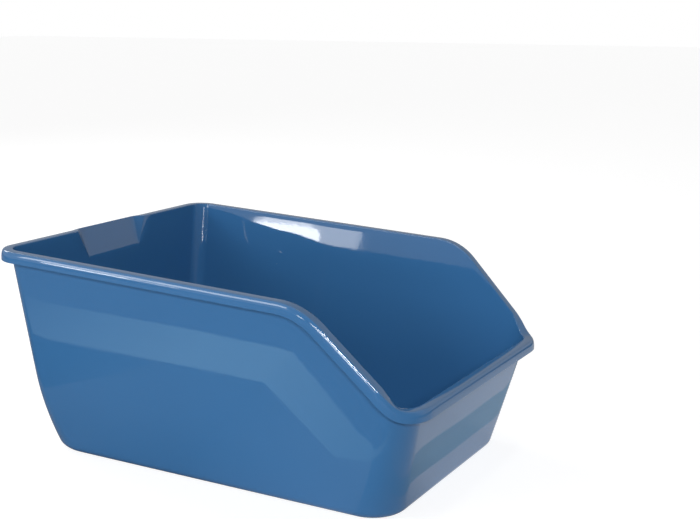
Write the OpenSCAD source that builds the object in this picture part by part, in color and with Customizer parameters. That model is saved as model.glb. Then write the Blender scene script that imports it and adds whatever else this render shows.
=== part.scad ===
// High-back litter pan: one moulded tub with a turned-down rim that drops to a low front.
// X runs from the back to the front, Y across, Z up. The base rests on Z = 0.
// The tub is a single loft: each station round the plan carries one section, from the
// middle of the base up the outside, over the rim and down the inside to the floor.

/* [Overall] */
// Length over the rim, back to front
pan_len = 450; // [400:1:540]
// Width over the rim at the back
pan_w = 336; // [300:1:400]
// Height of the rim at the back
back_h = 213; // [190:1:250]
// Height of the rim at the front
front_h = 113; // [100:1:130]

/* [Walls] */
// Thickness of the walls
wall = 2.5; // [2:0.1:3.5]
// Thickness of the floor
floor_t = 3; // [2:0.1:5]
// Lean of the back wall, degrees off upright
back_lean = 1.5; // [0:0.1:6]
// Lean of the front wall, degrees off upright
front_lean = 14.2; // [8:0.1:18]
// Lean of the side walls, degrees off upright
side_lean = 9.5; // [6:0.1:12]

/* [Corners] */
// Radius of the back corners under the rim
back_corner_r = 17; // [12:1:30]
// Radius of the front corners under the rim
front_corner_r = 29; // [20:1:40]
// Radius of the back corners at the base
back_base_r = 46; // [36:1:56]
// Radius of the front corners at the base
front_base_r = 34; // [28:1:46]
// Height at which the corners have narrowed to their upper radius
flare_h = 83; // [50:1:95]
// Radius between the walls and the underside of the base
base_fillet = 8; // [5:0.5:12]

/* [Rim] */
// Overhang of the rim beyond the wall
rim_out = 8.8; // [7:0.1:11]
// Thickness of the rim and its skirt
rim_t = 2.2; // [1.6:0.1:3]
// Height of the skirt, square to the rim
skirt_h = 10.5; // [8:0.1:14]
// Radius of the rim's outer top edge
rim_edge_r = 2.2; // [1:0.1:3.6]
// Radius of the rim's inner top edge
lip_r = 0.8; // [0.3:0.1:1.2]

/* [Side profile] */
// Fall of the long upper rim toward the front, degrees
rim_fall = 2.4; // [0:0.1:5]
// Upper bend, back from the front end of the rim
crest_in = 101.5; // [90:0.5:130]
// Lower bend, back from the front end of the rim
foot_in = 13.5; // [10:0.5:20]
// Radius of the upper bend
crest_r = 62; // [40:1:80]
// Radius of the lower bend
foot_r = 22; // [15:1:28]

/* [Grip recess] */
// Width of the recess at the rim
grip_top_w = 110; // [90:1:120]
// Width of its sloping panel at the rim
grip_panel_w = 88; // [84:1:100]
// Width of the recess at its lower end
grip_foot_w = 82; // [60:1:90]
// Height of the recess
grip_h = 30; // [20:1:34]
// Radius of the rim's outer top edge behind the recess
grip_edge_r = 0.6; // [0.4:0.1:1]

/* [Hidden] */
corner_steps = 9;
crest_steps = 10;
wall_steps = 8;
fillet_steps = 5;
edge_steps = 5;
// Smallest clear width kept between two neighbouring edges
clear = 0.5;

// Plan of the outer wall face at height z
function back_x(z) = rim_out - pan_len / 2 + (back_h - z) * tan(back_lean);
function front_x(z) = pan_len / 2 - rim_out - (front_h - z) * tan(front_lean);
function half_w(z) = pan_w / 2 - rim_out - (rim_z(side_end) - z) * tan(side_lean);
function flare(z) = pow(max(0, 1 - z / flare_h), 2);
function back_r(z) = back_corner_r + (back_base_r - back_corner_r) * flare(z);
function front_r(z) = front_corner_r + (front_base_r - front_corner_r) * flare(z);

// Side profile of the rim: gentle fall, crest bend, slope, foot bend, level front
crest = [pan_len / 2 - crest_in, back_h - (pan_len - crest_in) * tan(rim_fall)];
foot = [pan_len / 2 - foot_in, front_h];
slope = atan((crest[1] - foot[1]) / (foot[0] - crest[0]));
crest_run = crest_r * tan((slope - rim_fall) / 2);
foot_run = foot_r * tan(slope / 2);
crest_from = crest - crest_run * [cos(rim_fall), -sin(rim_fall)];
crest_mid = crest_from - crest_r * [sin(rim_fall), cos(rim_fall)];
foot_from = foot - foot_run * [cos(slope), -sin(slope)];
foot_mid = foot + [foot_run, foot_r];
function crest_x(angle) = crest_mid[0] + crest_r * sin(angle);
function rim_z(x) =
    x < crest_from[0] ? back_h - (x + pan_len / 2) * tan(rim_fall) :
    x < crest_x(slope) ? crest_mid[1] + sqrt(pow(crest_r, 2) - pow(x - crest_mid[0], 2)) :
    x < foot_from[0] ? foot[1] + (foot[0] - x) * tan(slope) :
    x < foot_mid[0] ? foot_mid[1] - sqrt(pow(foot_r, 2) - pow(x - foot_mid[0], 2)) :
    front_h;

// Rim height in a corner, read where the rim's outer edge stands; turn is 0 at the side wall
function front_corner_x(turn, z) = front_x(z) - front_corner_r + (front_corner_r + rim_out) * sin(turn);
function back_corner_x(turn) = (back_corner_r + rim_out) * (1 - sin(turn)) - pan_len / 2;
function front_corner_z(turn, z, rounds) =
    rounds == 0 ? z : front_corner_z(turn, rim_z(front_corner_x(turn, z)), rounds - 1);

// Grip recess: as deep as the flat top of the rim and the inside of the skirt allow
grip_deep = min(
    rim_out + wall - grip_edge_r - lip_r - clear,
    (rim_out - rim_t - clear) / (1 - (skirt_h - clear) / grip_h)
);
grip_roof = max(rim_t, grip_h * (1 - (rim_out - rim_t - clear) / grip_deep));
function grip_rise(z) = min(1, max(0, (z - back_h + grip_h) / grip_h));

// Stations of the half with Y above 0, from the middle of the front to the middle of the back.
// Each is [leg, place, rim height, depth of the recess there, Y at the recess's lower end].
FRONT = 0;
FRONT_CORNER = 1;
SIDE = 2;
BACK_CORNER = 3;
BACK = 4;
function side_share(x, z) =
    (front_x(z) - front_r(z) - x) / (front_x(z) - front_r(z) - back_x(z) - back_r(z));
function side_station(x) = [SIDE, side_share(x, rim_z(x)), rim_z(x), 0, 0];
slope_from = front_corner_x(0, front_corner_z(0, front_h, 12));
slope_to = crest_x(slope);
side_end = back_corner_x(0);
stations = concat(
    [for (share = [0, 0.5]) [FRONT, share, front_h, 0, 0]],
    [for (i = [corner_steps:-1:0]) let (turn = 90 * i / corner_steps)
        [FRONT_CORNER, turn, front_corner_z(turn, front_h, 12), 0, 0]],
    [side_station((slope_from + slope_to) / 2)],
    [for (i = [crest_steps:-1:0]) side_station(crest_x(rim_fall + (slope - rim_fall) * i / crest_steps))],
    [for (share = [1 / 3, 2 / 3]) side_station(crest_from[0] + (side_end - crest_from[0]) * share)],
    [for (i = [0:corner_steps]) let (turn = 90 * i / corner_steps)
        [BACK_CORNER, turn, rim_z(back_corner_x(turn)), 0, 0]],
    [
        [BACK, grip_top_w / 2, back_h, 0, grip_foot_w / 2 + clear],
        [BACK, grip_panel_w / 2, back_h, grip_deep, grip_foot_w / 2 - clear],
        [BACK, 0, back_h, grip_deep, 0]
    ]
);
half_count = len(stations);

// Direction out of the wall at a station
function outward(s) =
    s[0] == FRONT ? [1, 0, 0] :
    s[0] == FRONT_CORNER ? [sin(s[1]), cos(s[1]), 0] :
    s[0] == SIDE ? [0, 1, 0] :
    s[0] == BACK_CORNER ? [-sin(s[1]), cos(s[1]), 0] :
    [-1, 0, 0];

// Point on the wall at a station, at height z, moved in by inset
function wall_point(s, z, inset) =
    s[0] == FRONT ? [front_x(z) - inset, s[1] * (half_w(z) - front_r(z)), z] :
    s[0] == FRONT_CORNER ?
        [front_x(z) - front_r(z), half_w(z) - front_r(z), z] + (front_r(z) - inset) * outward(s) :
    s[0] == SIDE ?
        [(front_x(z) - front_r(z)) * (1 - s[1]) + (back_x(z) + back_r(z)) * s[1], half_w(z) - inset, z] :
    s[0] == BACK_CORNER ?
        [back_x(z) + back_r(z), half_w(z) - back_r(z), z] + (back_r(z) - inset) * outward(s) :
    [back_x(z) + inset - s[3] * grip_rise(z), s[4] + (s[1] - s[4]) * grip_rise(z), z];

// The rim's outer edge at station i, and the direction square to it and to outward
function rim_point(s) = wall_point([s[0], s[1], s[2], 0, s[4]], s[2], -rim_out);
function rim_up(i) =
    stations[i][0] == FRONT || stations[i][0] == BACK ? [0, 0, 1] :
    let (square = cross(rim_point(stations[i - 1]) - rim_point(stations[i + 1]), outward(stations[i])))
    square / norm(square);

// Rim section as [out from the wall face, up from the rim's top], from the skirt's inside to the lip
function rim_section(deep, roof) = let (edge_r = deep > 0 ? grip_edge_r : rim_edge_r) concat(
    [[rim_out - rim_t, -roof], [rim_out - rim_t, -skirt_h], [rim_out - clear, -skirt_h]],
    [[rim_out, clear - skirt_h]],
    [for (i = [0:edge_steps]) let (turn = 90 * i / edge_steps)
        [rim_out - edge_r * (1 - cos(turn)), -edge_r * (1 - sin(turn))]],
    [for (turn = [0, 45, 90]) [deep - wall + lip_r * (1 - sin(turn)), -lip_r * (1 - cos(turn))]]
);

// Heights of the wall rings from the fillet up to the recess's lower end
function ring_z(s, low, i) = low + (s[2] - grip_h - low) * pow(i / wall_steps, 1.3);

// One section, from the base's edge round to the floor's edge
function section(i) =
    let (s = stations[i], up = rim_up(i), roof = s[3] > 0 ? grip_roof : rim_t, inner_r = base_fillet - wall)
    concat(
        [for (k = [fillet_steps:-1:1]) let (turn = 90 * k / fillet_steps)
            wall_point(s, base_fillet * (1 - sin(turn)), base_fillet * (1 - cos(turn)))],
        [for (k = [0:wall_steps]) wall_point(s, ring_z(s, base_fillet, k), 0)],
        [wall_point(s, s[2] - roof / up[2], 0)],
        [for (spot = rim_section(s[3], roof))
            rim_point(s) + (spot[0] - rim_out) * outward(s) + spot[1] * up],
        [for (k = [wall_steps:-1:0]) wall_point(s, ring_z(s, floor_t + inner_r, k), wall)],
        [for (k = [1:fillet_steps]) let (turn = 90 * k / fillet_steps)
            wall_point(s, floor_t + inner_r * (1 - sin(turn)), wall + inner_r * (1 - cos(turn)))]
    );

half_sections = [for (i = [0:half_count - 1]) section(i)];
sections = concat(
    half_sections,
    [for (i = [half_count - 2:-1:1]) [for (spot = half_sections[i]) [spot[0], -spot[1], spot[2]]]]
);
round_count = len(sections);
ring_count = len(sections[0]);

// The tub: floor, walls, rim and skirt in one moulding
module pan() {
    skin_points = [for (k = [0:ring_count - 1]) for (one = sections) one[k]];
    base_mid = len(skin_points);
    floor_mid = base_mid + 1;
    floor_ring = base_mid - round_count;
    skin = [for (k = [0:ring_count - 2]) for (j = [0:round_count - 1])
        let (a = k * round_count + j, b = k * round_count + (j + 1) % round_count)
        each [[a, a + round_count, b + round_count], [a, b + round_count, b]]];
    caps = [for (j = [0:round_count - 1]) let (next = (j + 1) % round_count)
        each [[base_mid, j, next], [floor_mid, floor_ring + next, floor_ring + j]]];
    points = concat(skin_points, [[0, 0, 0], [0, 0, floor_t]]);
    color([0.25, 0.44, 0.66]) polyhedron(points, concat(skin, caps), convexity = 8);
}

pan();
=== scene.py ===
import math

import bpy
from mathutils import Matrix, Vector


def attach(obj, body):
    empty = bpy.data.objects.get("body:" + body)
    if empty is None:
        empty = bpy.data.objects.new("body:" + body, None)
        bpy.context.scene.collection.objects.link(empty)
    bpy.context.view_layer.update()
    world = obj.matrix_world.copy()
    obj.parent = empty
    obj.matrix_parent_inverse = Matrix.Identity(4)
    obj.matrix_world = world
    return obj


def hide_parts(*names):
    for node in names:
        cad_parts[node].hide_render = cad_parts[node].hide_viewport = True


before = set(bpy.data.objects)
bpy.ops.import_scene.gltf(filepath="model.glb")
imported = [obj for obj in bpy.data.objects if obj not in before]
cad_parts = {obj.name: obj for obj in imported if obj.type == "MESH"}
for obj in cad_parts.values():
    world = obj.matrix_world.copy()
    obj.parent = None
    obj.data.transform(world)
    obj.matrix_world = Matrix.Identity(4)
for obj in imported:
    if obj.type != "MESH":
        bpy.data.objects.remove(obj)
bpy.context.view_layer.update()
print("frame loaded:", sorted(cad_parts))

# sizes of the moulding in millimetres; all but the rim edge are the solid's
pan = {
    "length": 450, "width": 336, "backHeight": 213, "frontHeight": 113,
    "wall": 2.5, "floor": 3,
    "backLean": 1.5, "frontLean": 14.2, "sideLean": 9.5,  # degrees off upright
    "backCorner": 17, "frontCorner": 29, "backBaseCorner": 46, "frontBaseCorner": 34,
    "flareHeight": 83, "baseFillet": 8,
    "rimOut": 8.8, "rimThick": 2.2, "skirt": 10.5, "lip": 0.8,
    "rimEdge": 2.8, "rimEdgeDrop": 8.5,  # the rounding is deeper than it is wide
    "rimFall": 2.4, "crestIn": 101.5, "footIn": 13.5, "crestRadius": 62, "footRadius": 22,
    "gripTop": 110, "gripPanel": 88, "gripFoot": 82, "gripHeight": 30, "gripEdge": 0.6,
    "gripEaseUp": 0.07, "gripEaseAcross": 0.2,  # shares of the grip's height and flank that are rounded
    "clear": 0.5,
}
millimetre = 0.001

# how finely the skin is divided
skinSteps = {
    "front": 8, "corner": 24, "slope": 8, "crest": 24, "upper": 16, "backFlat": 8,
    "flank": 8, "panel": 8, "wall": 26, "recess": 14, "fillet": 10, "edge": 18, "lip": 5,
    "wallCrowding": 1.3,  # above 1 the rings crowd towards the foot of the wall
    "recessReach": 1.1,  # even rings start this many grip heights below the rim
    "rimTrials": 14,  # rounds to settle the rim's height on a front corner
    "sharpAngle": 38,
}


def tanDeg(angle):
    return math.tan(math.radians(angle))


def sinDeg(angle):
    return math.sin(math.radians(angle))


def cosDeg(angle):
    return math.cos(math.radians(angle))


def mix(a, b, share):
    return a + (b - a) * share


def addToScene(obj):
    bpy.context.scene.collection.objects.link(obj)


def softRamp(t, width):
    # 0 below, t above, with a rounded start
    if t < -width:
        return 0.0
    if t > width:
        return t
    return (t + width) ** 2 / (4 * width)


def softStep(t, width):
    # straight climb from 0 to 1 with both ends rounded
    return softRamp(t, width) - softRamp(t - 1, width)


# side profile of the rim: gentle fall, crest bend, slope, foot bend, level front
half = pan["length"] / 2
crestX = half - pan["crestIn"]
crestZ = pan["backHeight"] - (pan["length"] - pan["crestIn"]) * tanDeg(pan["rimFall"])
footX = half - pan["footIn"]
slope = math.degrees(math.atan((crestZ - pan["frontHeight"]) / (footX - crestX)))
crestRun = pan["crestRadius"] * tanDeg((slope - pan["rimFall"]) / 2)
footRun = pan["footRadius"] * tanDeg(slope / 2)
crestFromX = crestX - crestRun * cosDeg(pan["rimFall"])
crestMidX = crestFromX - pan["crestRadius"] * sinDeg(pan["rimFall"])
crestMidZ = crestZ + crestRun * sinDeg(pan["rimFall"]) - pan["crestRadius"] * cosDeg(pan["rimFall"])
crestToX = crestMidX + pan["crestRadius"] * sinDeg(slope)
footFromX = footX - footRun * cosDeg(slope)
footMidX = footX + footRun
footMidZ = pan["frontHeight"] + pan["footRadius"]


def rimZ(x):
    if x < crestFromX:
        return pan["backHeight"] - (x + half) * tanDeg(pan["rimFall"])
    if x < crestToX:
        return crestMidZ + math.sqrt(pan["crestRadius"] ** 2 - (x - crestMidX) ** 2)
    if x < footFromX:
        return pan["frontHeight"] + (footX - x) * tanDeg(slope)
    if x < footMidX:
        return footMidZ - math.sqrt(pan["footRadius"] ** 2 - (x - footMidX) ** 2)
    return pan["frontHeight"]


# plan of the outer wall face at a height
def backX(z):
    return pan["rimOut"] - half + (pan["backHeight"] - z) * tanDeg(pan["backLean"])


def frontX(z):
    return half - pan["rimOut"] - (pan["frontHeight"] - z) * tanDeg(pan["frontLean"])


def halfWidth(z):
    return pan["width"] / 2 - pan["rimOut"] - (rimZ(backCornerX(0)) - z) * tanDeg(pan["sideLean"])


def flare(z):
    return max(0.0, 1 - z / pan["flareHeight"]) ** 2


def backRadius(z):
    return mix(pan["backCorner"], pan["backBaseCorner"], flare(z))


def frontRadius(z):
    return mix(pan["frontCorner"], pan["frontBaseCorner"], flare(z))


def frontCornerX(turn, z):
    return frontX(z) - pan["frontCorner"] + (pan["frontCorner"] + pan["rimOut"]) * sinDeg(turn)


def backCornerX(turn):
    return (pan["backCorner"] + pan["rimOut"]) * (1 - sinDeg(turn)) - half


def frontCornerZ(turn):
    z = pan["frontHeight"]
    for _ in range(skinSteps["rimTrials"]):
        z = rimZ(frontCornerX(turn, z))
    return z


gripDeep = min(
    pan["rimOut"] + pan["wall"] - pan["gripEdge"] - pan["lip"] - pan["clear"],
    (pan["rimOut"] - pan["rimThick"] - pan["clear"])
    / (1 - (pan["skirt"] - pan["clear"]) / pan["gripHeight"]),
)
gripRoof = max(
    pan["rimThick"],
    pan["gripHeight"] * (1 - (pan["rimOut"] - pan["rimThick"] - pan["clear"]) / gripDeep),
)


def gripRise(z):
    return (z - pan["backHeight"] + pan["gripHeight"]) / pan["gripHeight"]


# a station is a place round the plan: which leg, where on it, and the rim's height there
def halfStations():
    found = []
    for i in range(skinSteps["front"]):
        found.append(("front", i / skinSteps["front"], pan["frontHeight"]))
    for i in range(skinSteps["corner"], -1, -1):
        turn = 90 * i / skinSteps["corner"]
        found.append(("frontCorner", turn, frontCornerZ(turn)))
    slopeFromX = frontCornerX(0, frontCornerZ(0))
    sideX = []
    for i in range(1, skinSteps["slope"]):
        sideX.append(mix(slopeFromX, crestToX, i / skinSteps["slope"]))
    for i in range(skinSteps["crest"], -1, -1):
        angle = mix(pan["rimFall"], slope, i / skinSteps["crest"])
        sideX.append(crestMidX + pan["crestRadius"] * sinDeg(angle))
    for i in range(1, skinSteps["upper"]):
        sideX.append(mix(crestFromX, backCornerX(0), i / skinSteps["upper"]))
    for x in sideX:
        z = rimZ(x)
        start, end = frontX(z) - frontRadius(z), backX(z) + backRadius(z)
        found.append(("side", (start - x) / (start - end), z))
    for i in range(skinSteps["corner"] + 1):
        turn = 90 * i / skinSteps["corner"]
        found.append(("backCorner", turn, rimZ(backCornerX(turn))))
    for i in range(1, skinSteps["backFlat"]):
        found.append(("backFlat", i / skinSteps["backFlat"], pan["backHeight"]))
    for i in range(skinSteps["flank"] + 1):
        found.append(("flank", i / skinSteps["flank"], pan["backHeight"]))
    for i in range(1, skinSteps["panel"] + 1):
        found.append(("panel", i / skinSteps["panel"], pan["backHeight"]))
    return found


def outward(station):
    leg, place, _ = station
    if leg == "front":
        return Vector((1, 0, 0))
    if leg == "frontCorner":
        return Vector((sinDeg(place), cosDeg(place), 0))
    if leg == "side":
        return Vector((0, 1, 0))
    if leg == "backCorner":
        return Vector((-sinDeg(place), cosDeg(place), 0))
    return Vector((-1, 0, 0))


def recessShare(station):
    # 1 on the sloping panel, 0 outside the recess
    leg, place, _ = station
    if leg == "flank":
        return softStep(place, pan["gripEaseAcross"])
    return 1.0 if leg == "panel" else 0.0


def backY(leg, place, z):
    rise = min(1.0, max(0.0, gripRise(z)))
    flankY = mix(pan["gripFoot"] / 2 + pan["clear"], pan["gripTop"] / 2, rise)
    panelY = mix(pan["gripFoot"] / 2 - pan["clear"], pan["gripPanel"] / 2, rise)
    if leg == "backFlat":
        return mix(halfWidth(z) - backRadius(z), flankY, place)
    if leg == "flank":
        return mix(flankY, panelY, place)
    return panelY * (1 - place)


def wallPoint(station, z, inset, recessed=True):
    leg, place, _ = station
    if leg == "front":
        return Vector((frontX(z) - inset, place * (halfWidth(z) - frontRadius(z)), z))
    if leg == "frontCorner":
        r = frontRadius(z)
        return Vector((frontX(z) - r, halfWidth(z) - r, z)) + (r - inset) * outward(station)
    if leg == "side":
        start, end = frontX(z) - frontRadius(z), backX(z) + backRadius(z)
        return Vector((mix(start, end, place), halfWidth(z) - inset, z))
    if leg == "backCorner":
        r = backRadius(z)
        return Vector((backX(z) + r, halfWidth(z) - r, z)) + (r - inset) * outward(station)
    deep = 0.0
    if recessed:
        deep = gripDeep * recessShare(station) * softRamp(gripRise(z), pan["gripEaseUp"])
    return Vector((backX(z) + inset - deep, backY(leg, place, z), z))


def rimPoint(station):
    return wallPoint(station, station[2], -pan["rimOut"], recessed=False)


def rimUp(stations, i):
    if stations[i][0] not in ("frontCorner", "side", "backCorner"):
        return Vector((0, 0, 1))
    along = rimPoint(stations[i - 1]) - rimPoint(stations[i + 1])
    return along.cross(outward(stations[i])).normalized()


def rimSection(deep, roof, edge, drop):
    # out from the wall face and up from the rim's top, from the skirt's inside to the lip
    out, thick, low = pan["rimOut"], pan["rimThick"], -pan["skirt"]
    lip, heel = pan["lip"], pan["clear"]
    inside = min(heel, (-low - roof) / 2)
    path = [(out - thick, mix(-roof, low + inside, share)) for share in (0, 0.5, 1)]
    path += [(out - thick + inside, low), (out - heel, low)]
    for turn in (30, 60, 90):
        path.append((out - heel * (1 - sinDeg(turn)), low + heel * (1 - cosDeg(turn))))
    path.append((out, mix(low + heel, -drop, 0.5)))
    for i in range(skinSteps["edge"] + 1):
        turn = 90 * i / skinSteps["edge"]
        path.append((out - edge * (1 - cosDeg(turn)), -drop * (1 - sinDeg(turn))))
    path.append((mix(out - edge, deep - pan["wall"] + lip, 0.5), 0))
    for i in range(skinSteps["lip"] + 1):
        turn = 90 * i / skinSteps["lip"]
        path.append((deep - pan["wall"] + lip * (1 - sinDeg(turn)), -lip * (1 - cosDeg(turn))))
    return path


def wallShare(k):
    return (k / skinSteps["wall"]) ** skinSteps["wallCrowding"]


# one cut through the pan, from the base up the outside, over the rim and down the inside to the floor
def section(stations, i):
    station = stations[i]
    top = station[2]
    up = rimUp(stations, i)
    side = outward(station)
    share = recessShare(station)
    roof = mix(pan["rimThick"], gripRoof, share)
    edge = mix(pan["rimEdge"], pan["gripEdge"], share)
    drop = mix(pan["rimEdgeDrop"], pan["gripEdge"], share)
    recessLow = top - pan["gripHeight"] * skinSteps["recessReach"]
    innerFillet = pan["baseFillet"] - pan["wall"]
    points = []
    for k in range(skinSteps["fillet"], 0, -1):
        turn = 90 * k / skinSteps["fillet"]
        inset = pan["baseFillet"] * (1 - cosDeg(turn))
        points.append(wallPoint(station, pan["baseFillet"] * (1 - sinDeg(turn)), inset))
    for k in range(skinSteps["wall"]):
        z = mix(pan["baseFillet"], recessLow, wallShare(k))
        points.append(wallPoint(station, z, 0))
    roofZ = top - roof / up[2]
    for k in range(skinSteps["recess"] + 1):
        z = mix(recessLow, roofZ, k / skinSteps["recess"])
        points.append(wallPoint(station, z, 0))
    for out, rise in rimSection(gripDeep * share, roof, edge, drop):
        points.append(rimPoint(station) + (out - pan["rimOut"]) * side + rise * up)
    lipZ = points[-1][2]
    for k in range(1, skinSteps["recess"]):
        z = mix(lipZ, recessLow, k / skinSteps["recess"])
        points.append(wallPoint(station, z, pan["wall"]))
    low = pan["floor"] + innerFillet
    for k in range(skinSteps["wall"], -1, -1):
        z = mix(low, recessLow, wallShare(k))
        points.append(wallPoint(station, z, pan["wall"]))
    for k in range(1, skinSteps["fillet"] + 1):
        turn = 90 * k / skinSteps["fillet"]
        z = pan["floor"] + innerFillet * (1 - sinDeg(turn))
        points.append(wallPoint(station, z, pan["wall"] + innerFillet * (1 - cosDeg(turn))))
    return points


def buildPan():
    stations = halfStations()
    sections = [section(stations, i) for i in range(len(stations))]
    for i in range(len(stations) - 2, 0, -1):
        sections.append([Vector((p[0], -p[1], p[2])) for p in sections[i]])
    around, rings = len(sections), len(sections[0])
    points = [s[k] * millimetre for k in range(rings) for s in sections]
    faces = []
    for k in range(rings - 1):
        for j in range(around):
            a, b = k * around + j, k * around + (j + 1) % around
            faces.append((a, b, b + around, a + around))
    baseMid = len(points)
    floorRing = baseMid - around
    points += [Vector((0, 0, 0)), Vector((0, 0, pan["floor"] * millimetre))]
    for j in range(around):
        after = (j + 1) % around
        faces.append((baseMid, after, j))
        faces.append((baseMid + 1, floorRing + j, floorRing + after))
    mesh = bpy.data.meshes.new("panSkin")
    mesh.from_pydata([tuple(p) for p in points], [], faces)
    mesh.validate()
    mesh.shade_smooth()
    mesh.set_sharp_from_angle(angle=math.radians(skinSteps["sharpAngle"]))
    obj = bpy.data.objects.new("panSkin", mesh)
    addToScene(obj)
    print("pan skin:", len(mesh.vertices), "points,", len(mesh.polygons), "faces")
    return obj


# glossy blue moulded plastic
bluePlastic = {
    "colour": (0.042, 0.162, 0.368), "deepColour": (0.039, 0.15, 0.343),
    "driftScale": 7.0, "driftDetail": 3.0, "ior": 1.5,
    "roughness": 0.025, "scuffRoughness": 0.07, "scuffScale": 22.0, "scuffDetail": 6.0,
    "scuffRange": (0.45, 0.8),  # noise level where scuffing starts and is full
    "warp": 0.08, "warpScale": 9.0, "warpDetail": 1.0, "warpHeight": 0.004,
    "peel": 0.5, "peelScale": 250.0, "peelHeight": 0.00002,
    "speck": (0.55, 0.62, 0.7), "speckSize": 0.0004, "speckSpacing": 30.0,
}


def addNode(tree, kind, place, **settings):
    node = tree.nodes.new(kind)
    node.location = place
    for name, value in settings.items():
        setattr(node, name, value)
    return node


def makeBluePlastic():
    spec = bluePlastic
    material = bpy.data.materials.new("bluePlastic")
    material.use_nodes = True
    tree = material.node_tree
    link = tree.links.new
    tree.nodes.clear()
    out = addNode(tree, "ShaderNodeOutputMaterial", (900, 0))
    skin = addNode(tree, "ShaderNodeBsdfPrincipled", (600, 0))
    skin.inputs["IOR"].default_value = spec["ior"]
    link(skin.outputs["BSDF"], out.inputs["Surface"])
    where = addNode(tree, "ShaderNodeTexCoord", (-1400, 0))
    point = where.outputs["Object"]

    # slow drift of pigment
    drift = addNode(tree, "ShaderNodeTexNoise", (-1000, 300))
    drift.inputs["Scale"].default_value = spec["driftScale"]
    drift.inputs["Detail"].default_value = spec["driftDetail"]
    link(point, drift.inputs["Vector"])
    tint = addNode(tree, "ShaderNodeMix", (-500, 300), data_type="RGBA")
    tint.inputs["A"].default_value = (*spec["deepColour"], 1)
    tint.inputs["B"].default_value = (*spec["colour"], 1)
    link(drift.outputs["Fac"], tint.inputs["Factor"])

    # a few dust specks
    speck = addNode(tree, "ShaderNodeTexVoronoi", (-1000, 60))
    speck.inputs["Scale"].default_value = spec["speckSpacing"]
    link(point, speck.inputs["Vector"])
    small = addNode(tree, "ShaderNodeMath", (-760, 60), operation="LESS_THAN")
    small.inputs[1].default_value = spec["speckSize"] * spec["speckSpacing"]
    link(speck.outputs["Distance"], small.inputs[0])
    dusty = addNode(tree, "ShaderNodeMix", (-200, 200), data_type="RGBA")
    dusty.inputs["B"].default_value = (*spec["speck"], 1)
    link(small.outputs["Value"], dusty.inputs["Factor"])
    link(tint.outputs["Result"], dusty.inputs["A"])
    link(dusty.outputs["Result"], skin.inputs["Base Color"])

    # patchy polish
    scuff = addNode(tree, "ShaderNodeTexNoise", (-1000, -200))
    scuff.inputs["Scale"].default_value = spec["scuffScale"]
    scuff.inputs["Detail"].default_value = spec["scuffDetail"]
    link(point, scuff.inputs["Vector"])
    polish = addNode(tree, "ShaderNodeMapRange", (-500, -200))
    polish.inputs["From Min"].default_value, polish.inputs["From Max"].default_value = spec["scuffRange"]
    polish.inputs["To Min"].default_value = spec["roughness"]
    polish.inputs["To Max"].default_value = spec["scuffRoughness"]
    link(scuff.outputs["Fac"], polish.inputs["Value"])
    link(polish.outputs["Result"], skin.inputs["Roughness"])

    # the wall's slight warp and the skin of the mould
    warp = addNode(tree, "ShaderNodeTexNoise", (-1000, -480))
    warp.inputs["Scale"].default_value = spec["warpScale"]
    warp.inputs["Detail"].default_value = spec["warpDetail"]
    link(point, warp.inputs["Vector"])
    peel = addNode(tree, "ShaderNodeTexNoise", (-1000, -760))
    peel.inputs["Scale"].default_value = spec["peelScale"]
    link(point, peel.inputs["Vector"])
    warpBump = addNode(tree, "ShaderNodeBump", (-300, -480))
    warpBump.inputs["Strength"].default_value = spec["warp"]
    warpBump.inputs["Distance"].default_value = spec["warpHeight"]
    link(warp.outputs["Fac"], warpBump.inputs["Height"])
    peelBump = addNode(tree, "ShaderNodeBump", (0, -480))
    peelBump.inputs["Strength"].default_value = spec["peel"]
    peelBump.inputs["Distance"].default_value = spec["peelHeight"]
    link(peel.outputs["Fac"], peelBump.inputs["Height"])
    link(warpBump.outputs["Normal"], peelBump.inputs["Normal"])
    link(peelBump.outputs["Normal"], skin.inputs["Normal"])
    return material


panSkin = buildPan()
panSkin.data.materials.append(makeBluePlastic())
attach(panSkin, "root")
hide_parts("pan")
print("pan dressed")

# a softbox stands at a compass angle, a distance and a height, and faces the pan;
# a sun that doesn't shine is left out of the gloss
studio = {
    "floorSize": 12.0, "floorShade": 0.35, "floorGlow": 0.82, "cardHeight": 0.0005,
    "paperRoughness": 0.9, "aimHeight": 0.1,
    "sky": 0.14, "roomDirection": (0.64, -0.77, 0.0),
    "room": ((0.05, 0.5), (0.4, 1.0), (0.67, 1.0), (0.85, 0.3)),  # level along that direction
    "suns": {
        "topLamp": {"direction": (0.06, 0.1, 1.0), "strength": 0.26, "spread": 8.0, "shines": True},
        "farLamp": {"direction": (-0.09, 1.0, 0.05), "strength": 1.0, "spread": 8.0, "shines": False},
    },
    "softboxes": {
        "keyBox": {"angle": -56, "rise": 1.0, "far": 2.22, "size": (0.5, 0.2), "glow": 76.0},
        "sideBox": {"angle": -120, "rise": 0.88, "far": 2.27, "size": (1.2, 0.5), "glow": 6.75},
        "lowBox": {"angle": -80, "rise": 0.35, "far": 2.39, "size": (0.5, 0.3), "glow": 11.0},
        "edgeBox": {"angle": -74, "rise": 0.5, "far": 2.3, "size": (0.06, 0.35), "glow": 40.0},
        "slopeBox": {"angle": -97, "rise": 0.3, "far": 2.4, "size": (0.2, 0.25), "glow": 8.0},
        "windowBox": {"angle": -128.4, "rise": 0.33, "far": 1.45, "size": (0.17, 0.045), "glow": 15.0},
        "wallBox": {"angle": -126.4, "rise": 0.33, "far": 1.4, "size": (0.26, 0.084), "glow": 6.0},
        "upperBox": {"angle": -128.3, "rise": 0.375, "far": 1.44, "size": (0.126, 0.05), "glow": 6.0},
        "backBox": {"angle": 165, "rise": 1.5, "far": 2.2, "size": (1.4, 0.6), "glow": 8.0},
    },
}

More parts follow.
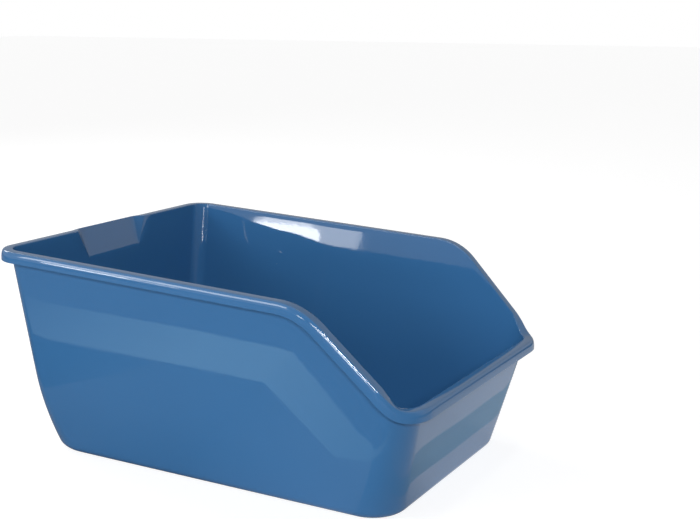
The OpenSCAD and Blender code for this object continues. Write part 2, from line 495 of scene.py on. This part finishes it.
# glowing cards on the floor, out of the camera's sight, that the glossy walls reflect: painted light, no
# lamps, that paints bright bands into the walls' gloss and throws some light on them; a card's glow
# climbs from nothing to full along one axis
paintedLightCards = {
    "nearCard": {
        "edge": ((-0.62, -0.37), (-0.08, -0.35), (-0.04, -0.345), (-0.04, -0.285), (-0.6, -0.3)),
        "along": "X", "climb": (-0.5, -0.15), "glow": 1.2, "shade": 0.35, "tint": (0.6, 0.95, 1.0),
    },
    "slopeCard": {
        "edge": ((-0.04, -0.345), (0.1, -0.235), (0.14, -0.215), (0.24, -0.205), (0.24, -0.2),
                 (0.15, -0.2), (0.095, -0.195), (-0.04, -0.285)),
        "along": "X", "climb": (0.35, -0.05), "glow": 1.1, "shade": 0.35, "tint": (0.6, 0.95, 1.0),
    },
    "cornerCard": {
        "edge": ((-0.04, -0.285), (0.095, -0.195), (0.15, -0.2), (0.15, -0.12), (-0.04, -0.12)),
        "along": "X", "climb": (-0.04, 0.12), "glow": 0.25, "shade": 0.35, "tint": (1, 1, 1),
    },
    "frontCard": {
        "edge": ((0.23, -0.2), (0.9, -0.2), (0.9, 0.9), (0.225, 0.9)),
        "along": "Y", "climb": (-0.2, 0.02), "glow": 0.64, "shade": 0.35, "tint": (1, 1, 1),
    },
    "gapCard": {
        "edge": ((0.2075, -0.2), (0.23, -0.2), (0.225, 0.9), (0.2075, 0.9)),
        "along": "Y", "climb": (-0.2, 0.02), "glow": 0.42, "shade": 0.35, "tint": (0.75, 1, 1),
    },
    "footCard": {
        "edge": ((0.15, -0.2), (0.2075, -0.2), (0.2075, 0.3), (0.15, 0.3)),
        "along": "Y", "climb": (-0.16, -0.02), "glow": 0.6, "shade": 0.35, "tint": (1, 1, 1),
    },
    # painted shade: a dark card that darkens the lower left of the near wall, in its light and in its
    # reflection
    "nearShadeFlag": {
        "edge": ((-0.6, -0.3), (-0.185, -0.285), (-0.215, -0.255), (-0.28, -0.21), (-0.45, -0.1)),
        "along": "X", "climb": (-0.3, -0.18), "glow": 0.15, "shade": 0.05, "tint": (1, 1, 1),
    },
}


def makePaper(name, shade):
    material = bpy.data.materials.new(name)
    material.use_nodes = True
    paper = material.node_tree.nodes["Principled BSDF"]
    paper.inputs["Base Color"].default_value = (shade, shade, shade, 1)
    paper.inputs["Roughness"].default_value = studio["paperRoughness"]
    return material, paper


def makeSheet(name, corners, height, material):
    mesh = bpy.data.meshes.new(name)
    mesh.from_pydata([(x, y, height) for x, y in corners], [], [tuple(range(len(corners)))])
    mesh.materials.append(material)
    obj = bpy.data.objects.new(name, mesh)
    addToScene(obj)
    return obj


def makeFloor():
    size = studio["floorSize"]
    material, paper = makePaper("studioFloor", studio["floorShade"])
    tree = material.node_tree
    paper.inputs["Emission Color"].default_value = (1, 1, 1, 1)
    path = addNode(tree, "ShaderNodeLightPath", (-650, 100))
    lift = addNode(tree, "ShaderNodeMath", (-350, 0), operation="MULTIPLY")  # white to the camera
    lift.inputs[1].default_value = studio["floorGlow"]
    tree.links.new(path.outputs["Is Camera Ray"], lift.inputs[0])
    tree.links.new(lift.outputs["Value"], paper.inputs["Emission Strength"])
    makeSheet("studioFloor", ((-size, -size), (size, -size), (size, size), (-size, size)), 0, material)


def makePaintedLightCard(name, spec):
    material, paper = makePaper(name, spec["shade"])
    tree = material.node_tree
    # painted light: the card's tinted glow, though it is no lamp, shows in the walls as reflection and
    # lights them a little
    paper.inputs["Emission Color"].default_value = (*spec["tint"], 1)
    where = addNode(tree, "ShaderNodeTexCoord", (-900, -200))
    apart = addNode(tree, "ShaderNodeSeparateXYZ", (-700, -200))
    glow = addNode(tree, "ShaderNodeMapRange", (-450, -200))
    glow.inputs["From Min"].default_value, glow.inputs["From Max"].default_value = spec["climb"]
    glow.inputs["To Min"].default_value = 0.0
    tree.links.new(where.outputs["Object"], apart.inputs["Vector"])
    tree.links.new(apart.outputs[spec["along"]], glow.inputs["Value"])
    glow.inputs["To Max"].default_value = spec["glow"]
    tree.links.new(glow.outputs["Result"], paper.inputs["Emission Strength"])
    side = addNode(tree, "ShaderNodeNewGeometry", (100, 300))
    clear = addNode(tree, "ShaderNodeBsdfTransparent", (100, -500))
    both = addNode(tree, "ShaderNodeMixShader", (400, 300))  # the floor underneath still gets its light
    tree.links.new(side.outputs["Backfacing"], both.inputs["Fac"])
    tree.links.new(paper.outputs["BSDF"], both.inputs[1])
    tree.links.new(clear.outputs["BSDF"], both.inputs[2])
    tree.links.new(both.outputs["Shader"], tree.nodes["Material Output"].inputs["Surface"])
    card = makeSheet(name, spec["edge"], studio["cardHeight"], material)
    card.visible_camera = False
    card.visible_shadow = False


def makeSun(name, spec):
    lamp = bpy.data.lights.new(name, "SUN")
    lamp.energy = spec["strength"]
    lamp.angle = math.radians(spec["spread"])
    obj = bpy.data.objects.new(name, lamp)
    obj.rotation_mode = "QUATERNION"
    obj.rotation_quaternion = Vector(spec["direction"]).to_track_quat("Z", "Y")
    obj.visible_glossy = spec["shines"]
    addToScene(obj)


def makeSoftbox(name, spec):
    lamp = bpy.data.lights.new(name, "AREA")
    lamp.shape = "RECTANGLE"
    lamp.size, lamp.size_y = spec["size"]
    lamp.energy = spec["glow"] * math.pi * lamp.size * lamp.size_y
    far, angle = spec["far"], spec["angle"]
    obj = bpy.data.objects.new(name, lamp)
    obj.location = (far * cosDeg(angle), far * sinDeg(angle), spec["rise"])
    obj.rotation_mode = "QUATERNION"
    aim = Vector((0, 0, studio["aimHeight"]))
    obj.rotation_quaternion = (obj.location - aim).to_track_quat("Z", "Y")
    addToScene(obj)


# the camera sees white, the gloss sees the room, and all else gets a dim even sky
def makeSky():
    world = bpy.data.worlds.new("studioSky")
    bpy.context.scene.world = world
    world.use_nodes = True
    tree = world.node_tree
    sky = tree.nodes["Background"]
    sky.inputs["Color"].default_value = (1, 1, 1, 1)
    path = addNode(tree, "ShaderNodeLightPath", (-700, 200))
    seen = addNode(tree, "ShaderNodeMath", (-450, 200), operation="MAXIMUM")
    tree.links.new(path.outputs["Is Camera Ray"], seen.inputs[0])
    tree.links.new(path.outputs["Is Glossy Ray"], seen.inputs[1])
    where = addNode(tree, "ShaderNodeTexCoord", (-1350, -150))
    facing = addNode(tree, "ShaderNodeVectorMath", (-1150, -150), operation="DOT_PRODUCT")
    facing.inputs[1].default_value = studio["roomDirection"]
    share = addNode(tree, "ShaderNodeMath", (-950, -150), operation="MULTIPLY_ADD")  # from -1..1 to 0..1
    share.inputs[1].default_value = 0.5
    share.inputs[2].default_value = 0.5
    around = addNode(tree, "ShaderNodeValToRGB", (-750, -150))
    stops = around.color_ramp.elements
    while len(stops) < len(studio["room"]):
        stops.new(0.5)
    for stop, (place, shade) in zip(stops, studio["room"]):
        stop.position = place
        stop.color = (shade, shade, shade, 1)
    bright = addNode(tree, "ShaderNodeMath", (-450, -100), operation="MAXIMUM")
    level = addNode(tree, "ShaderNodeMapRange", (-220, 200))
    level.inputs["To Min"].default_value = studio["sky"]
    tree.links.new(where.outputs["Generated"], facing.inputs[0])
    tree.links.new(facing.outputs["Value"], share.inputs[0])
    tree.links.new(share.outputs["Value"], around.inputs["Fac"])
    tree.links.new(path.outputs["Is Camera Ray"], bright.inputs[0])
    tree.links.new(around.outputs["Color"], bright.inputs[1])
    tree.links.new(bright.outputs["Value"], level.inputs["To Max"])
    tree.links.new(seen.outputs["Value"], level.inputs["Value"])
    tree.links.new(level.outputs["Result"], sky.inputs["Strength"])


makeFloor()
for cardName, cardSpec in paintedLightCards.items():
    makePaintedLightCard(cardName, cardSpec)
for sunName, sunSpec in studio["suns"].items():
    makeSun(sunName, sunSpec)
for boxName, boxSpec in studio["softboxes"].items():
    makeSoftbox(boxName, boxSpec)
makeSky()
print("studio lit")

viewpoint = {
    "place": (0.6376, -0.9911, 0.4442), "pitch": -11.961, "heading": 29.371,
    "lens": 62.02, "sensor": 36.0, "nearest": 0.05, "farthest": 60.0,
}


def makeCamera():
    data = bpy.data.cameras.new("camera")
    data.sensor_width = viewpoint["sensor"]
    data.lens = viewpoint["lens"]
    data.clip_start = viewpoint["nearest"]
    data.clip_end = viewpoint["farthest"]
    obj = bpy.data.objects.new("camera", data)
    obj.location = viewpoint["place"]
    obj.rotation_euler = (math.radians(90 + viewpoint["pitch"]), 0, math.radians(viewpoint["heading"]))
    addToScene(obj)
    bpy.context.scene.camera = obj


makeCamera()
print("camera placed")
bpy.context.scene.view_settings.view_transform = "Standard"
